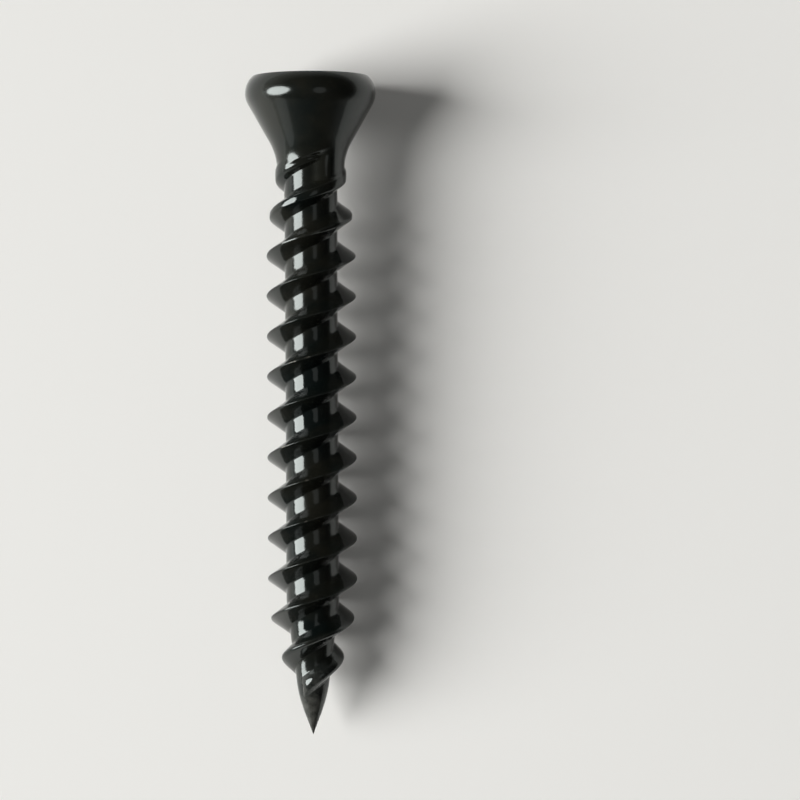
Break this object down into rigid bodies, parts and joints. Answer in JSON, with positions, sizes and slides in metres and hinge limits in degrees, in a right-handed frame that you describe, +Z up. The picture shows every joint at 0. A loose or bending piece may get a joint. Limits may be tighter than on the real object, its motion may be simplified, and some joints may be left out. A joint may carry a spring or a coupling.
{
  "type": "trim head screw",
  "caption": "Black twin-thread trim head wood screw with a small conical head, a square drive recess and a sharp point.",
  "frame": {"origin": "on the floor, under the middle of the lying screw", "axes": "+Z up; +Y along the lying screw, towards its head, which the screw's axis meets at 2.4 degrees because it rests on the rim of its head and on a crest near its point; +X across it"},
  "size_m": [0.005, 0.0254, 0.005],
  "materials": {
    "black_steel": "gloss"
  },
  "bodies": {
    "root": {"trim_head_screw": "black_steel"}
  },
  "joints": []
}
